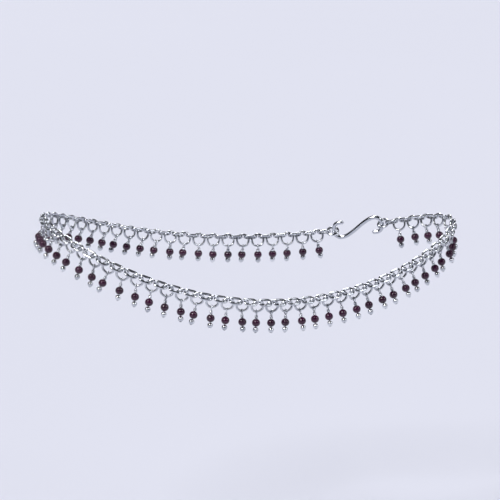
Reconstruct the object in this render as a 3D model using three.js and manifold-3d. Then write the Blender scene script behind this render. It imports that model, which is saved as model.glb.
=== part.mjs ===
// A payal: a silver ankle chain hung all round with garnet drops, in the form it takes when worn.
//
// Millimetres, +Z up. The toes point along -X, the heel along +X, the wearer's inner ankle along -Y.
// The origin is the middle of the loop, where the ankle passes through it.
//
// The fine chain is one tube along its route. Under it hang round rings, each with a silver pin, a garnet
// bead and a silver ball. Rings, beads and balls are small and many, so each quarter of the loop has one
// solid of each, joined along a thin thread. The upper halves of the rings lie inside the chain's tube.
// An S-shaped hook and two end rings close the loop on the outer side, just past the heel.
import * as THREE from "three";
import { mergeVertices } from "three/addons/utils/BufferGeometryUtils.js";
import Module from "manifold-3d";

const wasm = await Module();
wasm.setup();

// ---- Driving dimensions --------------------------------------------------------------------------------

// The loop through the middle of the chain. From above it is an egg, wide over the instep and narrow
// at the heel. Seen from the side it sags between the instep and the heel.
const HALF_LENGTH = 52.5;
const HALF_WIDTH = 27;
const EGG = 0.22; // share by which the front is wider, and the back narrower, than an ellipse
const FRONT_RISE = 4.4; // the front's height over the middle, and the back's depth under it
const SAG = 6.2; // half the difference in height between the ends and the sides
const CLASP_ANGLE = THREE.MathUtils.degToRad(50); // from the heel, round the outer side

// How far what hangs leans out from the vertical, in degrees: at the sides, and how much more at the front.
const LEAN_SIDES = 7;
const LEAN_FRONT_EXTRA = 5;

// Distances down a drop start at the middle of the chain.
const CHAIN_RADIUS = 0.85;
const RING_CENTRE = 0.9;
const RING_RADIUS = 1.45; // to the middle of the wire
const RING_WIRE = 0.28; // radius of the wire
const PIN_RADIUS = 0.45;
const BEAD_CENTRE = 5;
const BEAD_RADIUS = 1;
const BALL_CENTRE = 6.72;
const BALL_RADIUS = 0.7;
const THREAD_RADIUS = 0.15; // joins the beads, and the balls, of one quarter
const DROP_COUNT = 65;
const GAP = 0.3; // between any two pieces

// The clasp, measured from its middle along the loop.
const HOOK_WIRE = 0.5; // radius of the wire
const HOOK_REACH = 6.3; // to the outermost wire of each curl
const HOOK_CURL = 2; // how far each curl rises or falls
const HOOK_TIP_TURN = THREE.MathUtils.degToRad(148); // of the figure of eight, from the hook's middle
const END_RING_PLACE = 6.6;
const END_RING_RADIUS = 1.4;
const END_RING_WIRE = 0.3; // radius of the wire
const FIRST_DROP = 10.7; // from the middle of the clasp to the nearest drop on either side
const CHAIN_END = END_RING_PLACE + END_RING_RADIUS + END_RING_WIRE + GAP;

// How finely the solids are faceted.
const CHAIN_STEPS = 68;
const CHAIN_SIDES = 8;
const RING_SIDES = 4;
const RING_ARC_STEPS = 4;
const BEAD_SIDES = 6;
const BALL_SIDES = 5;
const PIN_SIDES = 4;
const HOOK_STEPS = 24;
const HOOK_SIDES = 8;
const END_RING_SIDES = 6;
const END_RING_STEPS = 16;

// The quarters of the loop, each with how many drops there are up to its end, counted from the clasp.
const QUARTERS = [
  { name: "outer_side", lastDrop: 17 },
  { name: "front", lastDrop: 32 },
  { name: "inner_side", lastDrop: 49 },
  { name: "back", lastDrop: DROP_COUNT },
];

// ---- Materials -----------------------------------------------------------------------------------------

const silver = () => new THREE.MeshStandardMaterial({ color: 0xd9dde2, roughness: 0.22, metalness: 1 });
const garnet = () => new THREE.MeshStandardMaterial({ color: 0x3a1628, roughness: 0.12, metalness: 0 });

// ---- The loop and the frame at each of its points ------------------------------------------------------

const UP = new THREE.Vector3(0, 0, 1);

class AnkleLoop extends THREE.Curve {
  // u runs from 0 at the middle of the clasp, by the outer side, the front and the inner side, to 1.
  getPoint(u, target = new THREE.Vector3()) {
    const angle = CLASP_ANGLE + 2 * Math.PI * u;
    return target.set(
      HALF_LENGTH * Math.cos(angle),
      HALF_WIDTH * Math.sin(angle) * (1 - EGG * Math.cos(angle)),
      SAG * Math.cos(2 * angle) - FRONT_RISE * Math.cos(angle),
    );
  }
}

const loop = new AnkleLoop();
loop.arcLengthDivisions = 2000;
const LOOP_LENGTH = loop.getLength();

// The stretch of the loop between two distances from the clasp.
class Stretch extends THREE.Curve {
  constructor(start, end) {
    super();
    this.start = start;
    this.end = end;
  }
  getPoint(u, target = new THREE.Vector3()) {
    const distance = this.start + u * (this.end - this.start);
    return loop.getPointAt(distance / LOOP_LENGTH, target);
  }
}

// The frame at a distance from the clasp: along the chain, out from the skin, down across the band, and
// the way a drop hangs, with the side that completes it. Held by its neighbours and the skin, a drop hangs
// halfway between straight down the skin and straight across the band.
function frameAt(distance) {
  const share = distance / LOOP_LENGTH;
  const point = loop.getPointAt(share);
  const angle = CLASP_ANGLE + 2 * Math.PI * loop.getUtoTmapping(share);
  const lean = THREE.MathUtils.degToRad(LEAN_SIDES - LEAN_FRONT_EXTRA * Math.cos(angle));
  const along = loop.getTangentAt(share);
  const sideways = new THREE.Vector3(along.y, -along.x, 0).normalize();
  const upright = new THREE.Vector3().crossVectors(sideways, along);
  const out = sideways.multiplyScalar(Math.cos(lean)).addScaledVector(upright, Math.sin(lean));
  const across = new THREE.Vector3().crossVectors(along, out);
  const downSkin = UP.clone().negate().addScaledVector(out, out.z).normalize();
  const hang = downSkin.add(across).normalize();
  const beside = new THREE.Vector3().crossVectors(out, hang);
  return { point, along, out, across, hang, beside };
}

const DROP_PITCH = (LOOP_LENGTH - 2 * FIRST_DROP) / (DROP_COUNT - 1);
const dropFrame = (drop) => frameAt(FIRST_DROP + drop * DROP_PITCH);

// Rings lie straight across the band, and each drop hangs from the middle of its ring.
const ringMiddle = ({ point, across }) => point.clone().addScaledVector(across, RING_CENTRE);
const placeDown = (frame, distanceDown) =>
  ringMiddle(frame).addScaledVector(frame.hang, distanceDown - RING_CENTRE);

// ---- Shared shapes -------------------------------------------------------------------------------------

function circle(radius, sides) {
  const shape = new THREE.Shape();
  for (let side = 0; side < sides; side++) {
    const turn = (2 * Math.PI * side) / sides;
    const place = [radius * Math.cos(turn), radius * Math.sin(turn)];
    if (side === 0) shape.moveTo(...place);
    else shape.lineTo(...place);
  }
  return shape;
}

function tube(curve, radius, sides, steps) {
  return new THREE.ExtrudeGeometry(circle(radius, sides), { extrudePath: curve, steps, bevelEnabled: false });
}

// One closed solid through a list of stations. Each is a regular polygon about a centre, in the plane of
// its two axes, and first axis x second axis points the way the list runs.
function stringSolid(stations, sides) {
  const positions = [];
  const triangles = [];
  for (const { centre, first, second, radius } of stations) {
    for (let side = 0; side < sides; side++) {
      const turn = (2 * Math.PI * side) / sides;
      const corner = centre
        .clone()
        .addScaledVector(first, radius * Math.cos(turn))
        .addScaledVector(second, radius * Math.sin(turn));
      positions.push(...corner.toArray());
    }
  }
  const end = (stations.length - 1) * sides;
  for (let base = 0; base < end; base += sides) {
    for (let side = 0; side < sides; side++) {
      const here = base + side;
      const next = base + ((side + 1) % sides);
      triangles.push(here, next, next + sides, here, next + sides, here + sides);
    }
  }
  for (let side = 1; side < sides - 1; side++) {
    triangles.push(0, side + 1, side, end, end + side, end + side + 1);
  }
  const geometry = new THREE.BufferGeometry();
  geometry.setAttribute("position", new THREE.Float32BufferAttribute(positions, 3));
  geometry.setIndex(triangles);
  return geometry;
}

function solidOf(geometry) {
  const bare = geometry.clone();
  bare.deleteAttribute("normal");
  bare.deleteAttribute("uv");
  const merged = mergeVertices(bare);
  const vertProperties = merged.attributes.position.array;
  const triVerts = new Uint32Array(merged.index.array);
  return new wasm.Manifold(new wasm.Mesh({ numProp: 3, vertProperties, triVerts }));
}

function geometryOf(solid) {
  const { vertProperties, triVerts } = solid.getMesh();
  const geometry = new THREE.BufferGeometry();
  geometry.setAttribute("position", new THREE.Float32BufferAttribute(vertProperties, 3));
  geometry.setIndex([...triVerts]);
  return geometry;
}

// ---- The pieces ----------------------------------------------------------------------------------------

const anklet = new THREE.Group();

function addPiece(name, geometry, material) {
  const mesh = new THREE.Mesh(geometry, material);
  mesh.name = name;
  anklet.add(mesh);
  return mesh;
}

function addChain() {
  const route = new Stretch(CHAIN_END, LOOP_LENGTH - CHAIN_END);
  addPiece("chain", tube(route, CHAIN_RADIUS, CHAIN_SIDES, CHAIN_STEPS), silver());
}

// Beads or balls on a thread: each is a barrel that swells from the thread to its full size and back.
function beadRow(drops, distanceDown, radius, sides) {
  const profile = [
    { along: -0.92, size: THREAD_RADIUS },
    { along: -0.5, size: 0.9 * radius },
    { along: 0.5, size: 0.9 * radius },
    { along: 0.92, size: THREAD_RADIUS },
  ];
  const stations = drops.flatMap((drop) => {
    const frame = dropFrame(drop);
    const middle = placeDown(frame, distanceDown);
    return profile.map(({ along, size }) => ({
      centre: middle.clone().addScaledVector(frame.beside, along * radius),
      first: frame.out,
      second: frame.hang,
      radius: size,
    }));
  });
  return stringSolid(stations, sides);
}

// The lower part of each ring, from just under the chain's tube, one wire running on from ring to ring.
function ringGarland(drops) {
  const top = CHAIN_RADIUS + GAP + RING_WIRE;
  const startTurn = Math.asin((top - RING_CENTRE) / RING_RADIUS);
  const stations = drops.flatMap((drop) => {
    const frame = dropFrame(drop);
    const { along, across, out } = frame;
    const middle = ringMiddle(frame);
    return Array.from({ length: RING_ARC_STEPS + 1 }, (unused, step) => {
      const turn = startTurn + (step / RING_ARC_STEPS) * (Math.PI - 2 * startTurn);
      const radial = new THREE.Vector3()
        .addScaledVector(along, -Math.cos(turn))
        .addScaledVector(across, Math.sin(turn));
      const isTip = step === 0 || step === RING_ARC_STEPS;
      return {
        centre: middle.clone().addScaledVector(radial, RING_RADIUS),
        first: out,
        second: isTip ? radial.clone().add(across).normalize() : radial,
        radius: RING_WIRE,
      };
    });
  });
  return stringSolid(stations, RING_SIDES);
}

// The silver pin between a ring and its bead, from the middle of the ring's wire.
function pin(drop) {
  const frame = dropFrame(drop);
  const ends = [RING_CENTRE + RING_RADIUS, BEAD_CENTRE - BEAD_RADIUS - GAP];
  const stations = ends.map((distanceDown) => ({
    centre: placeDown(frame, distanceDown),
    first: frame.beside,
    second: frame.out,
    radius: PIN_RADIUS,
  }));
  return stringSolid(stations, PIN_SIDES);
}

function addDrops() {
  let firstDrop = 0;
  for (const { name, lastDrop } of QUARTERS) {
    const drops = Array.from({ length: lastDrop - firstDrop }, (unused, place) => firstDrop + place);
    const rings = [ringGarland(drops), ...drops.map(pin)].map(solidOf).reduce((a, b) => a.add(b));
    addPiece(`hanger_rings_${name}`, geometryOf(rings), silver());
    addPiece(`garnet_beads_${name}`, beadRow(drops, BEAD_CENTRE, BEAD_RADIUS, BEAD_SIDES), garnet());
    addPiece(`silver_balls_${name}`, beadRow(drops, BALL_CENTRE, BALL_RADIUS, BALL_SIDES), silver());
    firstDrop = lastDrop;
  }
}

// The wire of an S-shaped hook that lies flat on the skin: a figure of eight, open where its free tips end.
class HookWire extends THREE.Curve {
  constructor(frame) {
    super();
    this.frame = frame;
  }
  getPoint(u, target = new THREE.Vector3()) {
    const turn = (2 * u - 1) * HOOK_TIP_TURN;
    return target
      .copy(this.frame.point)
      .addScaledVector(this.frame.along, HOOK_REACH * Math.sin(turn))
      .addScaledVector(this.frame.across, HOOK_CURL * Math.sin(2 * turn));
  }
}

function addHook(frame) {
  addPiece("clasp_hook", tube(new HookWire(frame), HOOK_WIRE, HOOK_SIDES, HOOK_STEPS), silver());
}

// An end ring stands square to the hook, with the hook's curl through it and the chain's last link beyond.
function addEndRing(name, frame, side) {
  const ring = new THREE.TorusGeometry(END_RING_RADIUS, END_RING_WIRE, END_RING_SIDES, END_RING_STEPS);
  const mesh = addPiece(name, ring, silver());
  mesh.quaternion.setFromRotationMatrix(
    new THREE.Matrix4().makeBasis(frame.along, frame.out, frame.across.clone().negate()),
  );
  mesh.position.copy(frame.point).addScaledVector(frame.along, side * END_RING_PLACE);
}

addChain();
addDrops();
const claspFrame = frameAt(0);
addHook(claspFrame);
addEndRing("end_ring_outer_side", claspFrame, 1);
addEndRing("end_ring_back", claspFrame, -1);

export default anklet;
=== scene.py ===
import math

import bpy
import numpy as np
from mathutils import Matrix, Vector


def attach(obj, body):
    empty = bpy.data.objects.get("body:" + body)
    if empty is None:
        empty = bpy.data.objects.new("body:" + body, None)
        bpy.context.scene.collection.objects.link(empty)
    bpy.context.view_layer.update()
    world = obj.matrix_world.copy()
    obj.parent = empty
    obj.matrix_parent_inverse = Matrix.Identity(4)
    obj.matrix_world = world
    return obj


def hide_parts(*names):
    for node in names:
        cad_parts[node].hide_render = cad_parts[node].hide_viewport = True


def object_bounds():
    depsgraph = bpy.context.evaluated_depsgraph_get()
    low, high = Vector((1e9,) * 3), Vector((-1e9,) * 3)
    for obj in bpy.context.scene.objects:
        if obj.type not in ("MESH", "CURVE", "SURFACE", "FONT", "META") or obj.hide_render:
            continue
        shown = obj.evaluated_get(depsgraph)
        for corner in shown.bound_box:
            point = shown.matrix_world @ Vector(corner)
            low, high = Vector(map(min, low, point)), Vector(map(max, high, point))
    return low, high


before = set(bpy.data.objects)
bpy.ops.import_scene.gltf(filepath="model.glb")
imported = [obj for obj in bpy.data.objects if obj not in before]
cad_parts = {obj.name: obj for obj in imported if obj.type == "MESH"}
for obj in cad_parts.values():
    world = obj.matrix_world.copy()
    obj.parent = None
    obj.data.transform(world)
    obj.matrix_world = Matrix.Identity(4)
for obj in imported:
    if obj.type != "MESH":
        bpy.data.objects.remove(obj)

cad_low, cad_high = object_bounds()

MM = 0.001

# ---- The loop, as in the CAD part ----------------------------------------------------------------------
HALF_LENGTH = 52.5 * MM
HALF_WIDTH = 27 * MM
EGG = 0.22  # share by which the front is wider, and the back narrower, than an ellipse
FRONT_RISE = 4.4 * MM  # the front's height over the middle, and the back's depth under it
SAG = 6.2 * MM  # half the difference in height between the ends and the sides
CLASP_ANGLE = math.radians(50)  # from the heel, round the outer side
LEAN_SIDES = math.radians(7)  # how far what hangs leans out from the vertical, at the sides
LEAN_FRONT_EXTRA = math.radians(5)  # and how much more at the front
LOOP_SAMPLES = 8000

DROP_COUNT = 65
FIRST_DROP = 10.7 * MM  # from the middle of the clasp to the nearest drop on either side
QUARTER_ENDS = {"outer_side": 17, "front": 32, "inner_side": 49, "back": DROP_COUNT}

# ---- The chain and its drops. Distances down a drop start at the middle of the chain. -------------------
WIRE = 0.28 * MM  # radius
OVAL_LENGTH = 3.6 * MM
OVAL_HEIGHT = 2.32 * MM
OVAL_TILT = math.radians(50)  # the links' lower wires stand off the skin
RING_RADIUS = 1.5 * MM  # to the middle of the wire
RING_TILT = math.radians(20)  # the rings' lower halves lie nearer the skin
RING_DOWN = 0.9 * MM  # from the middle of the chain to the ring's middle
RING_IN = 0.06 * MM  # and how much nearer the skin it lies
RING_SLIT = math.radians(1.5)  # where the wire's two ends meet
DROP_TILT = math.radians(13)  # beads rest on the skin, so the pins stand off it
EYE_RADIUS = 0.55 * MM
EYE_WIRE = 0.15 * MM  # radius, of the eye and of the pin below it
NECK_TURNS = 3.5
NECK_WIRE = 0.13 * MM
BEAD_DOWN = 5 * MM
BEAD_RADIUS = 1 * MM
BEAD_SQUASH = 0.97  # a bead's height, as a share of its width
BEAD_HOLE = 0.22 * MM
BALL_DOWN = 6.72 * MM
BALL_RADIUS = 0.7 * MM
MOUTH_DEPTH = 0.3  # how deep a drilled hole's mouth is, as a share of the hole's radius
MOUTH_WIDTH = 0.9  # and how wide at its floor
HEAD_RADIUS = 0.3 * MM  # the pin's head, under the ball
HEAD_THICKNESS = 0.2 * MM
EYE_DOWN = RING_DOWN + RING_RADIUS * math.cos(RING_TILT)  # the middle of a ring's lowest wire

# ---- The clasp, measured from its middle along the loop ---------------------------------------------------
HOOK_WIRE = 0.5 * MM
HOOK_REACH = 6.3 * MM  # to the outermost wire of each curl
HOOK_CURL = 2 * MM  # how far each curl rises or falls
HOOK_TIP_TURN = math.radians(148)  # of the figure of eight, from the hook's middle
HOOK_TIP = 0.2  # the tips' radius, as a share of the wire's
END_RING_PLACE = 6.6 * MM
END_RING_RADIUS = 1.4 * MM
END_RING_WIRE = 0.3 * MM
END_RING_TURN = math.radians(25)  # towards the slant of the end links

# ---- How finely the wires are faceted: steps along them and sides round them ------------------------------
LINK_STEPS = 44
LINK_SIDES = 12
EYE_STEPS = 28
PIN_SIDES = 10
NECK_STEPS_IN_A_TURN = 14
NECK_SIDES = 8
HOOK_STEPS = 91
HOOK_SIDES = 16

# ---- How much one copy differs from the next: the spread of each angle, in radians ------------------------
LINK_ROLL = 0.02
RING_ROLL = 0.02
DROP_SWING = 0.085  # along the chain
DROP_LIFT = 0.03  # off the skin
DROP_TWIST = 0.2

# ---- Colours, linear -------------------------------------------------------------------------------------
SILVER_DEEP = (0.47, 0.49, 0.53, 1)
SILVER_BRIGHT = (0.75, 0.77, 0.80, 1)
SILVER_TARNISH = (0.035, 0.04, 0.048, 1)
GARNET_DEEP = (0.022, 0.0016, 0.015, 1)
GARNET_BRIGHT = (0.08, 0.003, 0.045, 1)
GARNET_CLOUD = (0.042, 0.002, 0.031, 1)
FLOOR_DEEP = (0.705, 0.715, 0.81, 1)
FLOOR_BRIGHT = (0.72, 0.73, 0.825, 1)
SKY_LOW = (0.77, 0.78, 0.89, 1)
SKY_HIGH = (0.02, 0.022, 0.026, 1)
SKY_STOPS = ((0.04, SKY_LOW), (0.22, SKY_HIGH))  # by the sine of the elevation

# ---- The lights: distant and soft. Azimuth 0 shines from -Y and 90 from +X; width is the angle across. ----
LIGHTS = [
    # name, azimuth, elevation and width in degrees, strength, colour
    ("key", -60, 50, 21, 2.2, (1.0, 0.99, 0.98)),
    ("fill", 55, 38, 24, 0.9, (0.95, 0.97, 1.0)),
    ("rim", 165, 48, 20, 1.4, (0.97, 0.98, 1.0)),
]

# ---- The view: from the inner side, a little towards the toes and from above -----------------------------
VIEW_AZIMUTH = math.radians(-17)
VIEW_ELEVATION = math.radians(18)
VIEW_DISTANCE = 0.9
FIELD_WIDTH = 0.124  # the picture's width, measured at the anklet
SENSOR_WIDTH = 36

FLOOR_DROP = 0.070  # the floor's depth under the lowest ball
FLOOR_SIZE = 40

chance = np.random.default_rng(11)


# ---- Camera --------------------------------------------------------------------------------------------


def make_camera():
    data = bpy.data.cameras.new("camera")
    data.sensor_width = SENSOR_WIDTH
    data.lens = SENSOR_WIDTH * VIEW_DISTANCE / FIELD_WIDTH
    camera = bpy.data.objects.new("camera", data)
    bpy.context.scene.collection.objects.link(camera)
    flat = math.cos(VIEW_ELEVATION)
    back = Vector((math.sin(VIEW_AZIMUTH) * flat, -math.cos(VIEW_AZIMUTH) * flat, math.sin(VIEW_ELEVATION)))
    camera.location = (cad_low + cad_high) / 2 + back * VIEW_DISTANCE
    camera.rotation_mode = "QUATERNION"
    camera.rotation_quaternion = (-back).to_track_quat("-Z", "Y")
    bpy.context.scene.camera = camera


# ---- The loop's frames ---------------------------------------------------------------------------------


def unit(vector):
    return vector / np.linalg.norm(vector, axis=-1, keepdims=True)


def loop_point(angle):
    return np.stack(
        [
            HALF_LENGTH * np.cos(angle),
            HALF_WIDTH * np.sin(angle) * (1 - EGG * np.cos(angle)),
            SAG * np.cos(2 * angle) - FRONT_RISE * np.cos(angle),
        ],
        axis=-1,
    )


loop_angles = CLASP_ANGLE + np.linspace(0, 2 * np.pi, LOOP_SAMPLES + 1)
loop_steps = np.linalg.norm(np.diff(loop_point(loop_angles), axis=0), axis=1)
loop_distances = np.concatenate([[0], np.cumsum(loop_steps)])
LOOP_LENGTH = loop_distances[-1]
PITCH = (LOOP_LENGTH - 2 * FIRST_DROP) / (DROP_COUNT - 1)


class Station:
    """The frame at a distance from the clasp's middle, along the chain.

    along, out and across: along the chain, out from the skin, and down across the band.
    hang: the way a drop hangs, halfway between straight down the skin and straight across the band.
    """

    def __init__(self, distance):
        angle = np.interp(distance % LOOP_LENGTH, loop_distances, loop_angles)
        lean = LEAN_SIDES - LEAN_FRONT_EXTRA * math.cos(angle)
        step = 2 * np.pi / LOOP_SAMPLES
        self.point = loop_point(angle)
        self.along = unit(loop_point(angle + step) - loop_point(angle - step))
        sideways = unit(np.array([self.along[1], -self.along[0], 0]))
        upright = np.cross(sideways, self.along)
        self.out = sideways * math.cos(lean) + upright * math.sin(lean)
        self.across = np.cross(self.along, self.out)
        down_skin = unit(self.out * self.out[2] - np.array([0, 0, 1]))
        self.hang = unit(down_skin + self.across)
        self.axes = np.array([self.along, self.out, self.across])


def drop_station(drop):
    return Station(FIRST_DROP + drop * PITCH)


def turned(axes, kept, angle):
    """Right-handed axes, as rows, turned about one of their own."""
    first, second = (kept + 1) % 3, (kept + 2) % 3
    result = np.array(axes, float)
    result[first] = axes[first] * math.cos(angle) + axes[second] * math.sin(angle)
    result[second] = axes[second] * math.cos(angle) - axes[first] * math.sin(angle)
    return result


# ---- Shapes. A shape is its points, its faces and how deep in a recess each point lies, from 0 to 1. -----


def sweep(centres, outward, radii, sides, closed):
    """A round wire along centres. outward points away from what the wire bends round."""
    centres = np.asarray(centres, float)
    count = len(centres)
    if closed:
        travel = unit(np.roll(centres, -1, axis=0) - np.roll(centres, 1, axis=0))
    else:
        travel = unit(np.gradient(centres, axis=0))
    first = unit(outward - travel * np.sum(outward * travel, axis=1, keepdims=True))
    second = np.cross(travel, first)
    turns = 2 * np.pi * np.arange(sides) / sides
    radii = np.broadcast_to(radii, (count,))[:, None, None]
    around = np.cos(turns)[None, :, None] * first[:, None] + np.sin(turns)[None, :, None] * second[:, None]
    points = (centres[:, None] + radii * around).reshape(-1, 3)
    recess = np.tile(np.clip(-np.cos(turns), 0, 1), count)
    faces = []
    for row in range(count if closed else count - 1):
        start, after = row * sides, (row + 1) % count * sides
        for side in range(sides):
            following = (side + 1) % sides
            faces.append((start + side, start + following, after + following, after + side))
    if not closed:
        faces.append(tuple(range(sides - 1, -1, -1)))
        faces.append(tuple(range((count - 1) * sides, count * sides)))
    return points, faces, recess


def lathe(profile, segments):
    """A solid turned about the third axis. profile runs from pole to pole as (radius, down) pairs."""
    inner = profile[1:-1]
    turns = 2 * np.pi * np.arange(segments) / segments
    points = [(0, 0, profile[0][1])]
    for radius, down in inner:
        points += [(radius * math.cos(turn), radius * math.sin(turn), down) for turn in turns]
    points.append((0, 0, profile[-1][1]))
    last = len(points) - 1
    foot = last - segments
    faces = []
    for side in range(segments):
        following = (side + 1) % segments
        faces.append((0, 1 + following, 1 + side))
        for row in range(len(inner) - 1):
            above, below = 1 + row * segments, 1 + (row + 1) * segments
            faces.append((above + side, above + following, below + following, below + side))
        faces.append((foot + side, foot + following, last))
    return np.array(points), faces, np.zeros(len(points))


def together(*shapes):
    """Several shapes as one."""
    points, faces, recess = [], [], []
    offset = 0
    for shape_points, shape_faces, shape_recess in shapes:
        points.append(shape_points)
        recess.append(shape_recess)
        faces += [tuple(corner + offset for corner in face) for face in shape_faces]
        offset += len(shape_points)
    return np.concatenate(points), faces, np.concatenate(recess)


def oval_link(steps=LINK_STEPS, sides=LINK_SIDES):
    """A stadium of wire in the plane of the first and third axes."""
    end_radius = OVAL_HEIGHT / 2 - WIRE
    straight = OVAL_LENGTH / 2 - WIRE - end_radius
    turns = 2 * np.pi * (np.arange(steps) + 0.5) / steps
    outward = np.stack([np.sin(turns), np.zeros(steps), -np.cos(turns)], axis=-1)
    centres = outward * end_radius
    centres[:, 0] += np.where(np.sin(turns) > 0, straight, -straight)
    return sweep(centres, outward, WIRE, sides, closed=True)


def round_ring(radius, wire, slit=0.0, steps=LINK_STEPS, sides=LINK_SIDES):
    """A ring of wire in the plane of the first and third axes, whole, or cut by a slit."""
    if slit:
        turns = np.linspace(slit / 2, 2 * np.pi - slit / 2, steps)
    else:
        turns = 2 * np.pi * np.arange(steps) / steps
    outward = np.stack([np.sin(turns), np.zeros(steps), -np.cos(turns)], axis=-1)
    return sweep(outward * radius, outward, wire, sides, closed=not slit)


def wrapped_neck(start, end):
    """Turns of wire round the pin, between two distances down it, a little wider at the foot."""
    count = int(NECK_TURNS * NECK_STEPS_IN_A_TURN)
    share = np.linspace(0, 1, count)
    turns = share * NECK_TURNS * 2 * np.pi
    outward = np.stack([np.cos(turns), np.sin(turns), np.zeros(count)], axis=-1)
    centres = outward * (EYE_WIRE + NECK_WIRE * (0.9 + 0.3 * share))[:, None]
    centres[:, 2] = start + share * (end - start)
    from_nearest_tip = np.minimum(share, 1 - share)
    taper = np.clip(6 * from_nearest_tip + 0.4, 0, 1)
    return sweep(centres, outward, NECK_WIRE * taper, NECK_SIDES, closed=False)


def pin_head(down, rows=7, segments=12):
    """The flat round head about a place down the pin."""
    turns = np.linspace(0, math.pi, rows)
    profile = [(HEAD_RADIUS * math.sin(turn), down - HEAD_THICKNESS / 2 * math.cos(turn)) for turn in turns]
    return lathe(profile, segments)


def drop_pin():
    """A drop's silver, from the middle of its ring's lowest wire: an eye across that wire, a wrapped neck,
    the core that runs on through bead and ball, and its head under the ball."""
    eye_points, eye_faces, eye_recess = round_ring(EYE_RADIUS, EYE_WIRE, steps=EYE_STEPS, sides=PIN_SIDES)
    quarter_turned = eye_points[:, [1, 0, 2]] * [1, -1, 1]
    eye_points = quarter_turned + [0, 0, EYE_RADIUS - EYE_WIRE - WIRE]
    core_start = 2 * EYE_RADIUS - EYE_WIRE - WIRE
    neck_start = core_start + EYE_WIRE + NECK_WIRE / 2
    neck_end = BEAD_DOWN - BEAD_SQUASH * BEAD_RADIUS - NECK_WIRE / 2 - EYE_DOWN
    foot = BALL_DOWN - EYE_DOWN + BALL_RADIUS
    core_centres = np.array([[0, 0, core_start], [0, 0, foot]])
    core = sweep(core_centres, np.tile([1.0, 0, 0], (2, 1)), EYE_WIRE, PIN_SIDES, closed=False)
    neck = wrapped_neck(neck_start, neck_end)
    return together((eye_points, eye_faces, eye_recess), core, neck, pin_head(foot))


def ball(radius, squash, hole, rows, segments):
    """A ball, or an oblate bead, with the two shallow mouths of its drilled hole."""
    start = math.asin(hole / radius)
    turns = np.linspace(start, math.pi - start, rows)
    profile = [(radius * math.sin(turn), -radius * squash * math.cos(turn)) for turn in turns]
    mouth = profile[0][1] + MOUTH_DEPTH * hole
    upper_mouth = [(0, mouth), (MOUTH_WIDTH * hole, mouth)]
    lower_mouth = [(MOUTH_WIDTH * hole, -mouth), (0, -mouth)]
    return lathe([*upper_mouth, *profile, *lower_mouth], segments)


# ---- Materials -----------------------------------------------------------------------------------------


class Nodes:
    """A short way to make a material's nodes and join them."""

    def __init__(self, name):
        self.material = bpy.data.materials.new(name)
        self.material.use_nodes = True
        self.tree = self.material.node_tree
        self.shader = self.tree.nodes["Principled BSDF"]

    def add(self, kind, inputs=None, **settings):
        node = self.tree.nodes.new(kind)
        for key, value in settings.items():
            setattr(node, key, value)
        for key, value in (inputs or {}).items():
            self.feed(node.inputs[key], value)
        return node

    def feed(self, socket, value):
        if isinstance(value, bpy.types.NodeSocket):
            self.tree.links.new(value, socket)
        else:
            socket.default_value = value

    def noise(self, scale, detail):
        place = self.add("ShaderNodeTexCoord").outputs["Object"]
        node = self.add("ShaderNodeTexNoise", {"Vector": place, "Scale": scale, "Detail": detail})
        return node.outputs["Fac"]

    def attribute(self, name):
        return self.add("ShaderNodeAttribute", attribute_name=name).outputs["Fac"]

    def calculate(self, operation, first, second):
        node = self.add("ShaderNodeMath", operation=operation)
        self.feed(node.inputs[0], first)
        self.feed(node.inputs[1], second)
        return node.outputs[0]

    def stretch(self, value, low, high, to_low=0.0, to_high=1.0):
        node = self.add(
            "ShaderNodeMapRange",
            {"Value": value, "From Min": low, "From Max": high, "To Min": to_low, "To Max": to_high},
        )
        return node.outputs["Result"]

    def mix(self, share, first, second):
        node = self.add("ShaderNodeMix", data_type="RGBA")
        self.feed(node.inputs["Factor"], share)
        self.feed(node.inputs[6], first)
        self.feed(node.inputs[7], second)
        return node.outputs[2]

    def bump(self, height, distance):
        node = self.add("ShaderNodeBump", {"Height": height, "Distance": distance, "Strength": 1.0})
        self.feed(self.shader.inputs["Normal"], node.outputs["Normal"])


def silver_material():
    nodes = Nodes("silver")
    shader = nodes.shader.inputs
    shader["Metallic"].default_value = 1.0
    blotch = nodes.stretch(nodes.noise(scale=900, detail=4), low=0.35, high=0.7)
    fine = nodes.noise(scale=9000, detail=5)
    patchy_recess = nodes.calculate("MULTIPLY", nodes.attribute("recess"), blotch)
    tarnish = nodes.stretch(patchy_recess, low=0.05, high=0.7)
    tone = nodes.mix(nodes.attribute("tone"), SILVER_DEEP, SILVER_BRIGHT)
    nodes.feed(shader["Base Color"], nodes.mix(tarnish, tone, SILVER_TARNISH))
    polish = nodes.stretch(fine, low=0.3, high=0.7, to_low=0.08, to_high=0.2)
    dulling = nodes.calculate("MULTIPLY", tarnish, 0.3)
    nodes.feed(shader["Roughness"], nodes.calculate("ADD", polish, dulling))
    nodes.bump(fine, distance=0.012 * MM)
    return nodes.material


def garnet_material():
    nodes = Nodes("garnet")
    shader = nodes.shader.inputs
    shader["IOR"].default_value = 1.55
    shader["Transmission Weight"].default_value = 0.5
    cloud = nodes.stretch(nodes.noise(scale=1300, detail=2), low=0.3, high=0.7)
    tone = nodes.mix(nodes.attribute("tone"), GARNET_DEEP, GARNET_BRIGHT)
    nodes.feed(shader["Base Color"], nodes.mix(cloud, tone, GARNET_CLOUD))
    rubbed = nodes.noise(scale=6000, detail=3)
    nodes.feed(shader["Roughness"], nodes.stretch(rubbed, low=0.3, high=0.7, to_low=0.04, to_high=0.12))
    nodes.bump(nodes.noise(scale=2500, detail=2), distance=0.01 * MM)
    return nodes.material


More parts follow.
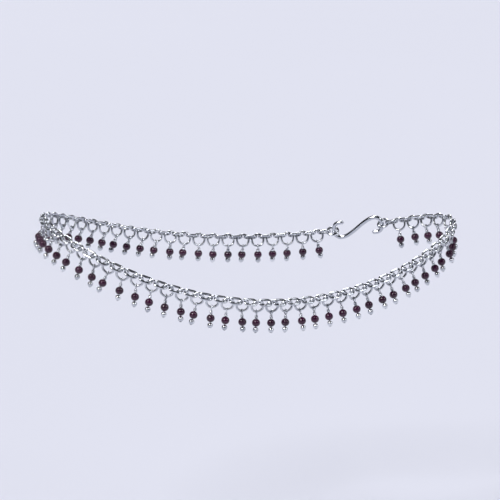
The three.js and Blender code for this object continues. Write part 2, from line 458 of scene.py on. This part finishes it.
def floor_material():
    nodes = Nodes("floor")
    shader = nodes.shader.inputs
    shader["Roughness"].default_value = 1.0
    shader["Specular IOR Level"].default_value = 0.0
    patch = nodes.stretch(nodes.noise(scale=3, detail=2), low=0.3, high=0.7)
    nodes.feed(shader["Base Color"], nodes.mix(patch, FLOOR_DEEP, FLOOR_BRIGHT))
    return nodes.material


# ---- Pieces --------------------------------------------------------------------------------------------


def make_piece(name, shape, places, material, stands_for=()):
    """One joined mesh with a copy of shape at each place. A place is an origin and three axes, as rows."""
    points, faces, recess = shape
    all_points = np.concatenate([origin + points @ axes for origin, axes in places])
    count = len(points)
    all_faces = [
        tuple(corner + copy * count for corner in face) for copy in range(len(places)) for face in faces
    ]
    mesh = bpy.data.meshes.new(name)
    mesh.from_pydata(all_points.tolist(), [], all_faces)
    mesh.attributes.new("recess", "FLOAT", "POINT").data.foreach_set("value", np.tile(recess, len(places)))
    tones = np.repeat(chance.random(len(places)), count)
    mesh.attributes.new("tone", "FLOAT", "POINT").data.foreach_set("value", tones)
    mesh.polygons.foreach_set("use_smooth", np.ones(len(mesh.polygons), bool))
    mesh.materials.append(material)
    mesh.update()
    piece = bpy.data.objects.new(name, mesh)
    bpy.context.scene.collection.objects.link(piece)
    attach(piece, "root")
    if stands_for:
        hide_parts(*stands_for)
    return piece


def end_ring_place(side):
    """An end ring's middle, on one side of the clasp, and axes of which the first points along its pull."""
    clasp = Station(0)
    middle = clasp.point + side * END_RING_PLACE * clasp.along
    pull = side * unit(Station(side * FIRST_DROP).point - middle)
    out = unit(clasp.out - pull * (clasp.out @ pull))
    return middle, np.array([pull, out, np.cross(pull, out)])


def link_place(link):
    """A link's middle and axes. The first and last one reach from their round ring to an end ring."""
    if link in (0, DROP_COUNT):
        side = 1 if link == 0 else -1
        axes = end_ring_place(side)[1]
        middle = Station(side * FIRST_DROP).point - side * PITCH / 2 * axes[0]
    else:
        station = Station(FIRST_DROP + (link - 0.5) * PITCH)
        middle, axes = station.point, station.axes
    return middle, turned(axes, 0, -OVAL_TILT + chance.normal(0, LINK_ROLL))


def ring_middle(station):
    return station.point + station.across * RING_DOWN - station.out * RING_IN


def ring_place(drop):
    station = drop_station(drop)
    return ring_middle(station), turned(station.axes, 0, RING_TILT + chance.normal(0, RING_ROLL))


def drop_place(drop):
    """Where a drop hangs, from its ring's lowest wire, and its axes. Each swings and turns a little."""
    station = drop_station(drop)
    ring_axes = turned(station.axes, 0, RING_TILT)
    swing = math.atan2(station.hang @ station.along, station.hang @ station.across)
    lowest = ring_axes[0] * math.sin(swing) + ring_axes[2] * math.cos(swing)
    foot = ring_middle(station) + RING_RADIUS * lowest
    hanging = np.array([np.cross(station.out, station.hang), station.out, station.hang])
    hanging = turned(hanging, 1, chance.normal(0, DROP_SWING))
    hanging = turned(hanging, 0, -DROP_TILT + chance.normal(0, DROP_LIFT))
    return foot, turned(hanging, 2, chance.normal(0, DROP_TWIST))


def moved(place, down):
    """The place further down its own third axis."""
    origin, axes = place
    return origin + axes[2] * down, axes


def make_chain(silver):
    places = [link_place(link) for link in range(DROP_COUNT + 1)]
    make_piece("oval_links", oval_link(), places, silver, ["chain"])


def make_drops(silver, garnet):
    ring = round_ring(RING_RADIUS, WIRE, slit=RING_SLIT)
    pin = drop_pin()
    bead = ball(BEAD_RADIUS, BEAD_SQUASH, BEAD_HOLE, rows=15, segments=24)
    small_ball = ball(BALL_RADIUS, 1, BEAD_HOLE, rows=13, segments=20)
    first = 0
    for quarter, last in QUARTER_ENDS.items():
        drops = range(first, last)
        rings = [ring_place(drop) for drop in drops]
        rings = [(origin, turned(axes, 1, chance.uniform(0, 2 * math.pi))) for origin, axes in rings]
        places = [drop_place(drop) for drop in drops]
        bead_places = [moved(place, BEAD_DOWN - EYE_DOWN) for place in places]
        ball_places = [moved(place, BALL_DOWN - EYE_DOWN) for place in places]
        make_piece(f"round_rings_{quarter}", ring, rings, silver, [f"hanger_rings_{quarter}"])
        make_piece(f"drop_pins_{quarter}", pin, places, silver)
        make_piece(f"beads_{quarter}", bead, bead_places, garnet, [f"garnet_beads_{quarter}"])
        make_piece(f"balls_{quarter}", small_ball, ball_places, silver, [f"silver_balls_{quarter}"])
        first = last


def s_hook(steps=HOOK_STEPS, sides=HOOK_SIDES):
    """A figure of eight of wire, open where its round tips end, in the plane of the first and third axes."""
    turns = np.linspace(-HOOK_TIP_TURN, HOOK_TIP_TURN, steps)
    centres = np.stack([HOOK_REACH * np.sin(turns), np.zeros(steps), HOOK_CURL * np.sin(2 * turns)], axis=-1)
    outward = np.cross(unit(np.gradient(centres, axis=0)), [0, 1.0, 0])
    from_nearest_tip = HOOK_REACH * (HOOK_TIP_TURN - np.abs(turns))
    rounding = np.clip(from_nearest_tip / HOOK_WIRE, 0, 1)
    radii = HOOK_WIRE * np.maximum(np.sqrt(1 - (1 - rounding) ** 2), HOOK_TIP)
    points, faces, unused = sweep(centres, outward, radii, sides, closed=False)
    return points, faces, np.zeros(len(points))


def make_clasp(silver):
    clasp = Station(0)
    make_piece("s_hook", s_hook(), [(clasp.point, clasp.axes)], silver, ["clasp_hook"])
    ring = round_ring(END_RING_RADIUS, END_RING_WIRE)
    for side, name in ((1, "outer_side"), (-1, "back")):
        middle, (pull, out, down) = end_ring_place(side)
        lying = turned(np.array([pull, -down, out]), 0, -END_RING_TURN)
        make_piece(f"jump_ring_{name}", ring, [(middle, lying)], silver, [f"end_ring_{name}"])


# ---- Stage ---------------------------------------------------------------------------------------------


def add_light(name, azimuth, elevation, width, strength, colour):
    """One row of LIGHTS, with its angles in degrees."""
    data = bpy.data.lights.new(name, "SUN")
    data.energy = strength
    data.angle = math.radians(width)
    data.color = colour
    light = bpy.data.objects.new(name, data)
    bpy.context.scene.collection.objects.link(light)
    around, up = math.radians(azimuth), math.radians(elevation)
    source = Vector((math.sin(around) * math.cos(up), -math.cos(around) * math.cos(up), math.sin(up)))
    light.rotation_mode = "QUATERNION"
    light.rotation_quaternion = source.to_track_quat("Z", "Y")


def make_floor():
    height = cad_low.z - FLOOR_DROP
    half = FLOOR_SIZE / 2
    mesh = bpy.data.meshes.new("floor")
    corners = [(-half, -half, height), (half, -half, height), (half, half, height), (-half, half, height)]
    mesh.from_pydata(corners, [], [(0, 1, 2, 3)])
    mesh.materials.append(floor_material())
    floor = bpy.data.objects.new("floor", mesh)
    bpy.context.scene.collection.objects.link(floor)


def make_world():
    """Pale round the horizon, like the floor, and dark overhead, so that polished silver has dark tones."""
    world = bpy.data.worlds.new("studio")
    bpy.context.scene.world = world
    world.use_nodes = True
    tree = world.node_tree
    place = tree.nodes.new("ShaderNodeTexCoord")
    parts = tree.nodes.new("ShaderNodeSeparateXYZ")
    ramp = tree.nodes.new("ShaderNodeValToRGB")
    tree.links.new(place.outputs["Generated"], parts.inputs[0])
    tree.links.new(parts.outputs["Z"], ramp.inputs[0])
    tree.links.new(ramp.outputs[0], tree.nodes["Background"].inputs["Color"])
    ramp.color_ramp.interpolation = "EASE"
    for stop, (height, colour) in zip(ramp.color_ramp.elements, SKY_STOPS):
        stop.position = height
        stop.color = colour


def make_stage():
    make_floor()
    make_world()
    for light in LIGHTS:
        add_light(*light)
    bpy.context.scene.view_settings.view_transform = "Standard"


make_camera()
silver = silver_material()
garnet = garnet_material()
make_chain(silver)
make_drops(silver, garnet)
make_clasp(silver)
make_stage()
